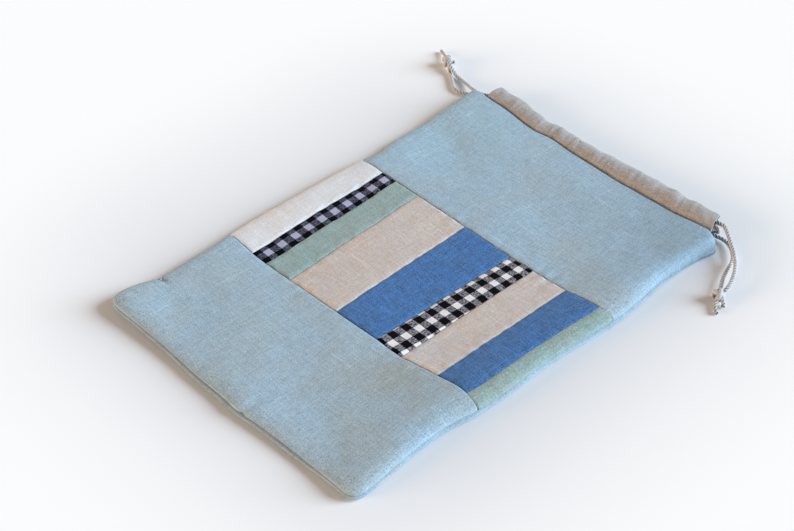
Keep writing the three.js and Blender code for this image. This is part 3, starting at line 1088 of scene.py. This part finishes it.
def smoothLine(points, step):
    # one curve through the points, cut into even steps
    p = np.asarray(points, float)
    ends = np.vstack([2 * p[0] - p[1], p, 2 * p[-1] - p[-2]])
    gaps = np.maximum(np.linalg.norm(np.diff(ends, axis=0), axis=1), 1e-9) ** 0.5
    knots = np.concatenate([[0], np.cumsum(gaps)])
    fine = []
    for i in range(1, len(ends) - 2):
        t = np.linspace(knots[i], knots[i + 1], 24, endpoint=False)[:, None]
        q = [ends[i - 1 + k] for k in range(4)]
        s = [knots[i - 1 + k] for k in range(4)]
        a = [between(q[k], q[k + 1], s[k], s[k + 1], t) for k in range(3)]
        b = [between(a[k], a[k + 1], s[k], s[k + 2], t) for k in range(2)]
        fine.append(between(b[0], b[1], s[1], s[2], t))
    line = np.vstack([*fine, p[-1]])
    along = lengthsAlong(line)
    count = max(2, int(round(along[-1] / step)))
    spots = np.linspace(0, along[-1], count + 1)
    return np.stack([np.interp(spots, along, line[:, k]) for k in range(line.shape[1])], 1)


def makeCasings():
    line = smoothLine(casing["section"], 0.75)
    run = lengthsAlong(line)
    ways = np.gradient(line, run, axis=0)
    ways /= np.linalg.norm(ways, axis=1)[:, None]
    inward = np.stack([-ways[:, 1], ways[:, 0]], 1)  # towards the middle of the tube
    if (inward[len(line) // 4] @ (np.array([9.0, 1.4]) - line[len(line) // 4])) < 0:
        inward = -inward

    def place(front):
        def at(u, v):
            # past an end the strip turns in and lies back inside itself
            fold = casing["endFold"]
            x = np.clip(u, casing["leftEnd"], casing["rightEnd"])
            past = np.abs(u - x)
            turn = np.minimum(past / fold, math.pi)
            back = np.maximum(past - math.pi * fold, 0)
            sunk = fold * (1 - np.cos(turn))
            along = np.interp(v, run, line[:, 0]) + np.interp(v, run, inward[:, 0]) * sunk
            depth = np.interp(v, run, line[:, 1]) + np.interp(v, run, inward[:, 1]) * sunk
            shifted = x + (0 if front else 300)
            wide = np.where(along > 0, casingReach(x) / casing["width"], 1)
            along = along * wide + casing["noseWave"] * noseWave(shifted) * ease(along / 12)
            depth = depth * np.where(depth < 0, casingCrest(x), 1)
            toEnd = np.minimum(x - casing["leftEnd"], casing["rightEnd"] - x)
            flatter = casing["pinch"] * ease(1 - toEnd / casing["pinchReach"]) * ease(along / 6)
            depth = 1 + (depth - 1) * (1 - flatter)
            lean = 6 * noseWave(shifted * 0.6)
            wrinkle = gatherWave(shifted + along * 0.25 + lean) * (1.2 - 0.5 * ease(along / 20))
            depth = depth + casing["gathers"] * wrinkle * ease(along / 3) * np.where(depth < 1.6, 1, 0.3)
            slant = np.interp(x, (casing["leftEnd"], casing["rightEnd"]), casing["slant"])
            x = x + np.sign(u - x) * (fold * np.sin(turn) - back) + slant * np.maximum(along, 0)
            y = bag["mouth"] - mouthDrop(x) + along
            if front:
                z = frontTop(x, np.full_like(x, bag["mouth"])) - depth
            else:
                z = 0.3 + 0.6 * (depth + casing["high"] * 1.15)
            return np.stack([x, y, np.maximum(z, casing["lowest"])], 1)

        return at

    turned = math.pi * casing["endFold"]
    tuck = np.concatenate([np.linspace(0, turned, 7)[1:], turned + np.linspace(0, casing["endHem"], 4)[1:]])
    left = gridLines(casing["leftEnd"], 0, 0.8, 1.5, 8, fineEnd=False)
    left = np.concatenate([casing["leftEnd"] - tuck[::-1], left])
    right = gridLines(0, casing["rightEnd"], 0.8, 1.5, 8, fineStart=False)
    right = np.concatenate([right, casing["rightEnd"] + tuck])
    for word, front in (("front", True), ("back", False)):
        for side, half, us in ((-1, "left", left), (1, "right", right)):
            name = f"casing_{word}_{half}_cloth"
            turn = slice(None) if front else slice(None, None, -1)
            piece = cutCloth(name, us[turn], run, place(front), casing["finish"], casing["cloth"])
            gatherAlong(piece)
            sewOn(f"casing_{word}")


makeCasings()
print("bag: casings folded")


# twine
twine = {
    "diameter": 2.8,
    "seen": 3.05,  # with its loose fibres
    "plies": 3,
    "strand": 0.245,
    "apart": 0.275,
    "turn": 8.4,
    "sides": 8,
    "step": 0.45,
    # where each row at a casing's end lies in the casing's middle, so that a drawn cord stays inside
    "frontRows": {3.2: 6.0, 7.4: 10.2},
    "frontMiddle": 9.0,
    "backRows": {3.2: 6.0, 7.4: 11.6},
    "bend": 3.0,
    "ramp": 34.0,  # how far in from a casing's end the twine reaches its middle row
    "inHole": 6.0,
    "pastHole": 1.8,
    "toKnot": 2.2,
}
cordHoles = {"left": -108.0, "right": 117.0}
rightString = {
    "knot": (44.5, -48.5, 4.6),
    "front": (
        (5, 7.3, 11.2), (10, 4.4, 10.8), (15.5, 0.2, 10.2), (21.5, -4.5, 9.6), (27, -9.2, 9),
        (32, -14, 8.4), (36, -19, 7.8), (39.6, -24.6, 7.3), (42.6, -30.6, 7), (44.8, -36.4, 6.9),
        (46.2, -42.2, 6.8),
    ),
    "back": (
        (5.6, 3.6, 2.5), (11.4, 3, 2.8), (16, 1.2, 3.1), (20.5, -2.2, 3.4), (25, -6.6, 3.6), (28.6, -12, 3.7),
        (31, -18.6, 3.8), (32.8, -24.6, 3.8), (35, -30.2, 3.9), (38, -35.8, 4), (41.4, -42, 4.2),
    ),
    "frontTail": ((47.2, -54, 2.8), (50, -58.4, 2.1), (54.2, -61.6, 1.7)),
    "backTail": ((50.6, -50.4, 3), (53, -53.2, 2)),
    "frontRow": 7.4,
    "backRow": 3.2,
    "frontLevel": 11.0,
    "backLevel": 2.3,
    "bendFrom": (11.2, 9.0),  # row and height where the far bend starts and ends
    "bendTo": (2.6, 2.3),
    "stub": 1.0,  # how much of the shorter tail is left
}
leftString = {
    "knot": (63.5, 20.5, 4.6),
    "front": (
        (4.5, 2, 9.6), (9, 1.8, 8.8), (13, 2.4, 7.9), (17.5, 4.4, 6.4), (23, 6.6, 4.5), (30, 9.6, 2.8),
        (36.5, 11.4, 2), (42, 12.4, 1.9), (46.5, 13, 2.6), (50.5, 13.8, 4.1), (54.2, 15, 5.5),
        (58.8, 17.4, 6.4),
    ),
    "back": (
        (7, 7, 2), (13, 6, 1.8), (18.5, 3.4, 1.8), (23.4, 0.4, 1.8), (28.2, -1.6, 1.8), (32.8, -1.2, 1.8),
        (36.5, 0.3, 1.8), (40, 2.8, 1.8), (44.6, 6.4, 1.8), (49.5, 10, 1.8), (54.2, 13.4, 2),
        (58.8, 17.2, 2.8),
    ),
    "frontTail": ((69.5, 24.6, 3.6), (75.5, 27.6, 2.5), (80.8, 30.4, 1.8)),
    "backTail": ((58.8, 24.2, 3.8), (57, 26, 3)),
    "frontRow": 3.2,
    "backRow": 7.4,
    "frontLevel": 9.8,
    "backLevel": 2.3,
    "bendFrom": (3.2, 9.8),
    "bendTo": (7.4, 2.3),
    "stub": 0.72,
}


def framesAlong(line):
    ways = np.gradient(line, axis=0)
    ways /= np.linalg.norm(ways, axis=1)[:, None]
    first = np.cross(ways[0], (0, 0, 1) if abs(ways[0][2]) < 0.9 else (1, 0, 0))
    first /= np.linalg.norm(first)
    sides = [first]
    for a, b in zip(ways[:-1], ways[1:]):
        s = sides[-1] - b * (sides[-1] @ b)
        sides.append(s / np.linalg.norm(s))
    sides = np.array(sides)
    return ways, sides, np.cross(ways, sides)


def tube(name, line, radii, sides, inward=None):
    # its seam, and with it the twine's painted crease shade, is on the side turned inward, when that side is
    # given
    ways, across, up = framesAlong(line)
    if inward is not None:
        across = inward - ways * (inward * ways).sum(1)[:, None]
        across /= np.linalg.norm(across, axis=1)[:, None]
        up = np.cross(ways, across)
    run = lengthsAlong(line)
    turns = np.linspace(0, 2 * math.pi, sides + 1)

    def place(u, v):
        row = np.rint(v).astype(int)
        angle = turns[np.rint(u).astype(int) % sides]
        ring = across[row] * np.cos(angle)[:, None] + up[row] * np.sin(angle)[:, None]
        return line[row] + ring * radii[row][:, None]

    def flat(u, v):
        round_ = np.full_like(u, 0.5) if inward is None else u / sides
        return np.stack([round_, run[np.rint(v).astype(int)] * mm], 1)

    piece = gridPiece(name, np.arange(sides + 1.0), np.arange(float(len(line))), place, flat)
    bpy.ops.object.mode_set(mode="EDIT")
    bpy.ops.mesh.select_all(action="SELECT")
    bpy.ops.mesh.remove_doubles(threshold=1e-6)
    bpy.ops.object.mode_set(mode="OBJECT")
    return piece


def roundedEnds(count, full, steps=3):
    # a strand's end closes like a fingertip
    sizes = np.full(count, float(full))
    for i in range(steps):
        share = math.sqrt(1 - (1 - i / steps) ** 2)
        sizes[i] = min(sizes[i], full * share)
        sizes[-1 - i] = min(sizes[-1 - i], full * share)
    return sizes


def joinPieces(pieces, name):
    deselectAll()
    for p in pieces:
        p.select_set(True)
    bpy.context.view_layer.objects.active = pieces[0]
    bpy.ops.object.join()
    piece = bpy.context.object
    piece.name = piece.data.name = name
    return piece


def finishTwine(piece):
    selectOnly(piece)
    bpy.ops.object.shade_smooth()
    piece.data.materials.append(finishes["twine"])
    return piece


def layTwine(name, points, diameter=None, startTurn=0.0, flare=None):
    # strands laid round each other
    size = diameter or twine["seen"]
    line = smoothLine(points, twine["step"])
    run = lengthsAlong(line)
    ways, across, up = framesAlong(line)
    turn = 2 * math.pi * run / twine["turn"] + startTurn
    apart = np.full(len(line), twine["apart"] * size)
    if flare:
        apart = apart + flare * ease((run - run[-1] + 5) / 5)
    strands = []
    for k in range(twine["plies"]):
        angle = turn + 2 * math.pi * k / twine["plies"]
        offset = across * np.cos(angle)[:, None] + up * np.sin(angle)[:, None]
        strand = line + offset * apart[:, None]
        strand[:, 2] = np.maximum(strand[:, 2], twine["strand"] * size + 0.05)
        radii = roundedEnds(len(line), twine["strand"] * size)
        # painted shade: each ply's crease shade lies on its side towards the cord's middle
        strands.append(tube(f"{name}_{k}", strand, radii, twine["sides"], -offset))
    return joinPieces(strands, name), line


def runPoints(near, far, side, front):
    # inside a casing the twine keeps to the middle of the tube
    xs = np.linspace(casing["leftEnd"] + 4, casing["rightEnd"] - 4, 40)
    toEnd = np.minimum(xs - casing["leftEnd"], casing["rightEnd"] - xs)
    inside = ease(toEnd / twine["ramp"])
    row, level = np.where((xs * side > 0)[:, None], near, far).T
    if front:
        inMiddle = np.full_like(xs, twine["frontRows"][near[0]])
        z = level + (twine["frontMiddle"] - level) * inside
    else:
        inMiddle = twine["backRows"][near[0]] * casingReach(xs) / casing["width"] - mouthDrop(xs)
        z = level
    y = bag["mouth"] + row + (inMiddle - row) * inside
    return np.stack([xs, y, z], 1)


def makeString(word, string, side):
    end = cordHoles[word]
    far = casing["leftEnd"] + 2 if side > 0 else casing["rightEnd"] - 2
    body = f"{word}_drawstring"

    def onTable(p):
        return (end + side * p[0], bag["mouth"] + p[1], p[2])

    farFront, farBack = string["bendFrom"], string["bendTo"]
    frontRun = runPoints((string["frontRow"], string["frontLevel"]), farFront, side, True)
    backRun = runPoints((string["backRow"], string["backLevel"]), farBack, side, False)
    if side > 0:
        frontRun, backRun = frontRun[::-1], backRun[::-1]
    top = np.array([far, bag["mouth"] + farFront[0], farFront[1]])
    low = np.array([far, bag["mouth"] + farBack[0], farBack[1]])
    middle, half = (top + low) / 2, (top - low) / 2
    lead = np.array([side * 1.0, 0, 0])
    out = np.array([-side * twine["bend"], 0, 0])
    bend = [middle + lead + half * math.cos(t) + out * math.sin(t) for t in np.linspace(0, math.pi, 9)]
    loop, _ = layTwine(f"{word}_twine_loop", np.vstack([frontRun, bend, backRun[::-1]]))
    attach(finishTwine(loop), body)
    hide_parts(f"{word}_cord_front_run", f"{word}_cord_back_run", f"{word}_cord_loop")

    knotAt = np.array(onTable(string["knot"]))
    ends = []
    for part in ("front", "back"):
        leave = np.array([end, bag["mouth"] + string[f"{part}Row"], string[f"{part}Level"]])
        inside = leave - np.array([side * twine["inHole"], 0, 0])
        outside = leave + np.array([side * twine["pastHole"], 0, 0])
        route = [inside, leave, outside, *(onTable(p) for p in string[part])]
        toward = knotAt - np.array(route[-1])
        route.append(knotAt - toward / np.linalg.norm(toward) * twine["toKnot"])
        piece, line = layTwine(f"{word}_twine_{part}_end", route)
        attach(finishTwine(piece), body)
        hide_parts(f"{word}_cord_{part}_end")
        ends.append((piece, line, leave))

    knot = tieKnot(word, knotAt, np.array(ends[0][1][-1]) - np.array(ends[0][1][-6]))
    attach(finishTwine(knot), body)
    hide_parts(f"{word}_cord_knot")
    tails = []
    for part in ("front", "back"):
        points = [onTable(p) for p in string[f"{part}Tail"]]
        kept = string["stub"] if part == "back" else 1.0
        tail = makeTail(f"{word}_twine_{part}_tail", knotAt, points, part == "back", kept)
        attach(finishTwine(tail), body)
        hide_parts(f"{word}_cord_{part}_tail")
        tails.append(tail)
    for (piece, line, leave), others in zip(ends, ([knot, *tails], [])):
        tuple(leave * mm)
        [tuple(p * mm) for p in line]


knotShape = {"wide": 2.55, "weave": 0.65, "high": 1.75, "cord": 2.05, "sides": 14, "lean": 25.0}


def tieKnot(word, middle, toward):
    # the cords wound round themselves and pulled up tight
    t = np.linspace(0.25, 2 * math.pi - 0.05, 60)
    axis = toward / np.linalg.norm(toward)
    across = np.cross(axis, (0, 0, 1))
    across /= np.linalg.norm(across)
    up = np.cross(across, axis)
    far = (knotShape["wide"] + knotShape["weave"] * np.cos(3 * t))[:, None]
    ring = far * (np.outer(np.cos(2 * t), across) + np.outer(np.sin(2 * t), up))
    ring = ring + np.outer(knotShape["high"] * np.sin(3 * t), axis)
    lean = Matrix.Rotation(math.radians(knotShape["lean"]), 3, Vector(across))
    line = smoothLine(middle + ring @ np.array(lean).T, twine["step"])
    line[:, 2] = np.maximum(line[:, 2], knotShape["cord"] + 0.1)
    radii = roundedEnds(len(line), knotShape["cord"])
    # painted shade: the side of the wound cord that faces the knot's middle gets the twine's crease shade
    return tube(f"{word}_twine_knot", line, radii, knotShape["sides"], middle - line)


fray = {
    "count": 10,
    "thickness": 0.2,
    "length": 2.8,
    "spread": 0.75,
    "curl": 0.9,
    "scatter": 0.45,
    "lowest": 0.35,
    "neatSpread": 0.45,  # the longer tail frays less
    "neatLength": 0.6,
    "flare": (0.1, 0.25),  # how far the plies part at the longer tail's tip and at the shorter one's
}


def makeTail(name, start, points, loose, kept):
    way = np.array(points[0]) - start
    line = smoothLine([start + way / np.linalg.norm(way) * 1.5, *points], 0.5)
    line = line[:int(len(line) * kept)]
    body, path = layTwine(name, line, twine["diameter"] * 1.05, 0.6, flare=fray["flare"][int(loose)])
    draw = np.random.default_rng(len(name) + int(abs(start[0])))
    tip = path[-1]
    out = path[-1] - path[-4]
    out /= np.linalg.norm(out)
    hairs = [body]
    for k in range(fray["count"]):
        lean = draw.normal(0, fray["spread"] * (1 if loose else fray["neatSpread"]), 3)
        curl = draw.normal(0, fray["curl"], 3)
        reach = fray["length"] * draw.uniform(0.45, 1.0) * (1 if loose else fray["neatLength"])
        root = tip - out * draw.uniform(1.0, 2.4) + draw.normal(0, fray["scatter"], 3)
        way = out + lean
        way /= np.linalg.norm(way)
        spots = [root + way * reach * s + curl * s * s for s in np.linspace(0, 1, 6)]
        hair = smoothLine(spots, 0.7)
        hair[:, 2] = np.maximum(hair[:, 2], fray["lowest"])
        sizes = fray["thickness"] * np.linspace(1, 0.25, len(hair))
        sizes[-1] = 0
        hairs.append(tube(f"{name}_hair{k}", hair, sizes, 5))
    return joinPieces(hairs, name)


makeString("right", rightString, 1)
makeString("left", leftString, -1)
print("bag: drawstrings threaded and knotted")
